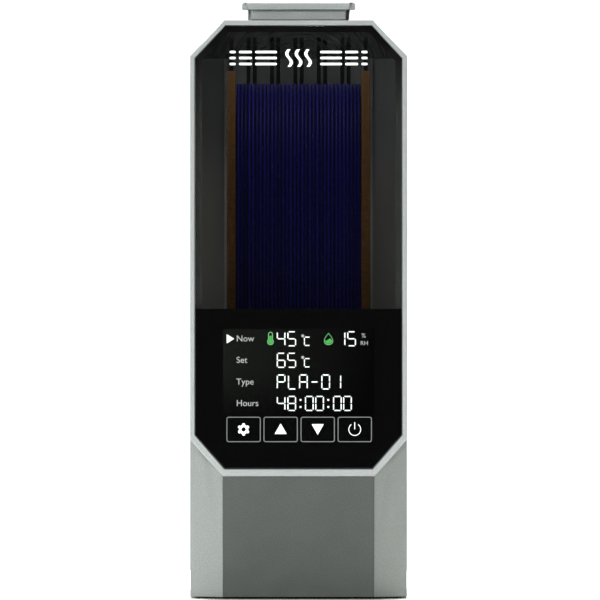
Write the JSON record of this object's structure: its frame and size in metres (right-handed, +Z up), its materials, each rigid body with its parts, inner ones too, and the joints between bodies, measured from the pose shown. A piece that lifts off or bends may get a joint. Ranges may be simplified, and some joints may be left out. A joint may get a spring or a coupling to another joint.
{
  "type": "filament dryer box",
  "caption": "Upright heated box for a filament spool, with an octagonal silver front frame, a smoked window over a display, and a rear-hinged smoked lid with a grip on top.",
  "frame": {"origin": "middle of the footprint on the ground, under the feet", "axes": "+Z up; the front window faces -Y; +X is to the right for someone facing the front"},
  "size_m": [0.105, 0.2586, 0.289],
  "materials": {
    "silver_paint": "metallic silver paint with a fine speckle on moulded plastic",
    "grey_paint": "darker grey fine-textured paint on moulded plastic",
    "smoked_plastic": "clear plastic with a smoke-grey tint, polished",
    "window_glass": "smoked sheet, printed black over the display",
    "black_plastic": "moulded black plastic, fine texture",
    "duct_plastic": "moulded dark grey plastic, satin",
    "seal_rubber": "soft black rubber",
    "roller_plastic": "turned black acetal",
    "steel": "plain steel",
    "kraft_board": "brown kraft cardboard",
    "blue_filament": "dark blue plastic filament, wound side by side",
    "display": "dark segment display with white characters",
    "circuit_board": "green solder-masked board with its components",
    "aluminium": "extruded aluminium",
    "cable_film": "amber polyimide film with flat conductors"
  },
  "bodies": {
    "base": {"base_housing": "silver_paint", "lower_front_panel": "grey_paint", "bottom_cover": "grey_paint", "foot_front_left": "seal_rubber", "foot_front_right": "seal_rubber", "foot_rear_left": "seal_rubber", "foot_rear_right": "seal_rubber", "cover_screw_front_left": "steel", "cover_screw_front_right": "steel", "cover_screw_rear_left": "steel", "cover_screw_rear_right": "steel", "front_bezel": "silver_paint", "front_window": "window_glass", "lcd_module": "display", "touch_board": "circuit_board", "display_cable": "cable_film", "control_board": "circuit_board", "power_board": "circuit_board", "power_inlet": "black_plastic", "bay_divider": "black_plastic", "fan_frame": "black_plastic", "heater_frame": "black_plastic", "heater_core": "aluminium", "thermal_cutout": "aluminium", "humidity_sensor": "circuit_board", "chamber_floor": "duct_plastic", "rear_duct_panel": "duct_plastic", "rear_duct_cover": "duct_plastic", "roller_cradle_front": "black_plastic", "roller_cradle_rear": "black_plastic", "hinge_pin_left": "steel", "hinge_pin_right": "steel"},
    "spool": {"spool_flange_left": "kraft_board", "spool_flange_right": "kraft_board", "spool_hub": "kraft_board", "filament_winding": "blue_filament"},
    "roller_set_front": {"roller_axle_front": "steel", "roller_front_left": "roller_plastic", "roller_front_right": "roller_plastic"},
    "roller_set_rear": {"roller_axle_rear": "steel", "roller_rear_left": "roller_plastic", "roller_rear_right": "roller_plastic"},
    "fan_wheel": {"fan_rotor": "black_plastic"},
    "lid": {"lid_hood": "smoked_plastic", "lid_rim": "silver_paint", "front_seal": "seal_rubber", "side_seal_left": "seal_rubber", "side_seal_right": "seal_rubber", "lid_handle": "silver_paint", "handle_screw_left": "steel", "handle_screw_right": "steel", "filament_outlet_left": "black_plastic", "filament_outlet_right": "black_plastic"},
    "plug": {"outlet_plug": "seal_rubber"}
  },
  "joints": [
    {"name": "lid_hinge", "type": "hinge", "parent": "base", "child": "lid", "pos_m": [0, 0.12525, 0.14], "axis": [-1, 0, 0], "range_deg": [0, 85]},
    {"name": "spool_spin", "type": "hinge", "parent": "base", "child": "spool", "pos_m": [0, 0, 0.15601], "axis": [1, 0, 0], "continuous": true},
    {"name": "roller_spin_front", "type": "hinge", "parent": "base", "child": "roller_set_front", "pos_m": [0, -0.05, 0.05545], "axis": [1, 0, 0], "continuous": true},
    {"name": "roller_spin_rear", "type": "hinge", "parent": "base", "child": "roller_set_rear", "pos_m": [0, 0.05, 0.05545], "axis": [1, 0, 0], "continuous": true},
    {"name": "fan_spin", "type": "hinge", "parent": "base", "child": "fan_wheel", "pos_m": [-0.018, 0, 0.03], "axis": [0, 0, 1], "continuous": true},
    {"name": "plug_pull", "type": "slide", "parent": "lid", "child": "plug", "axis": [0, 0, 1], "range_m": [0, 0.014]}
  ],
  "couplings": [
    {"joint": "roller_spin_front", "follows": "spool_spin", "ratio": -8.3333},
    {"joint": "roller_spin_rear", "follows": "spool_spin", "ratio": -8.3333}
  ]
}
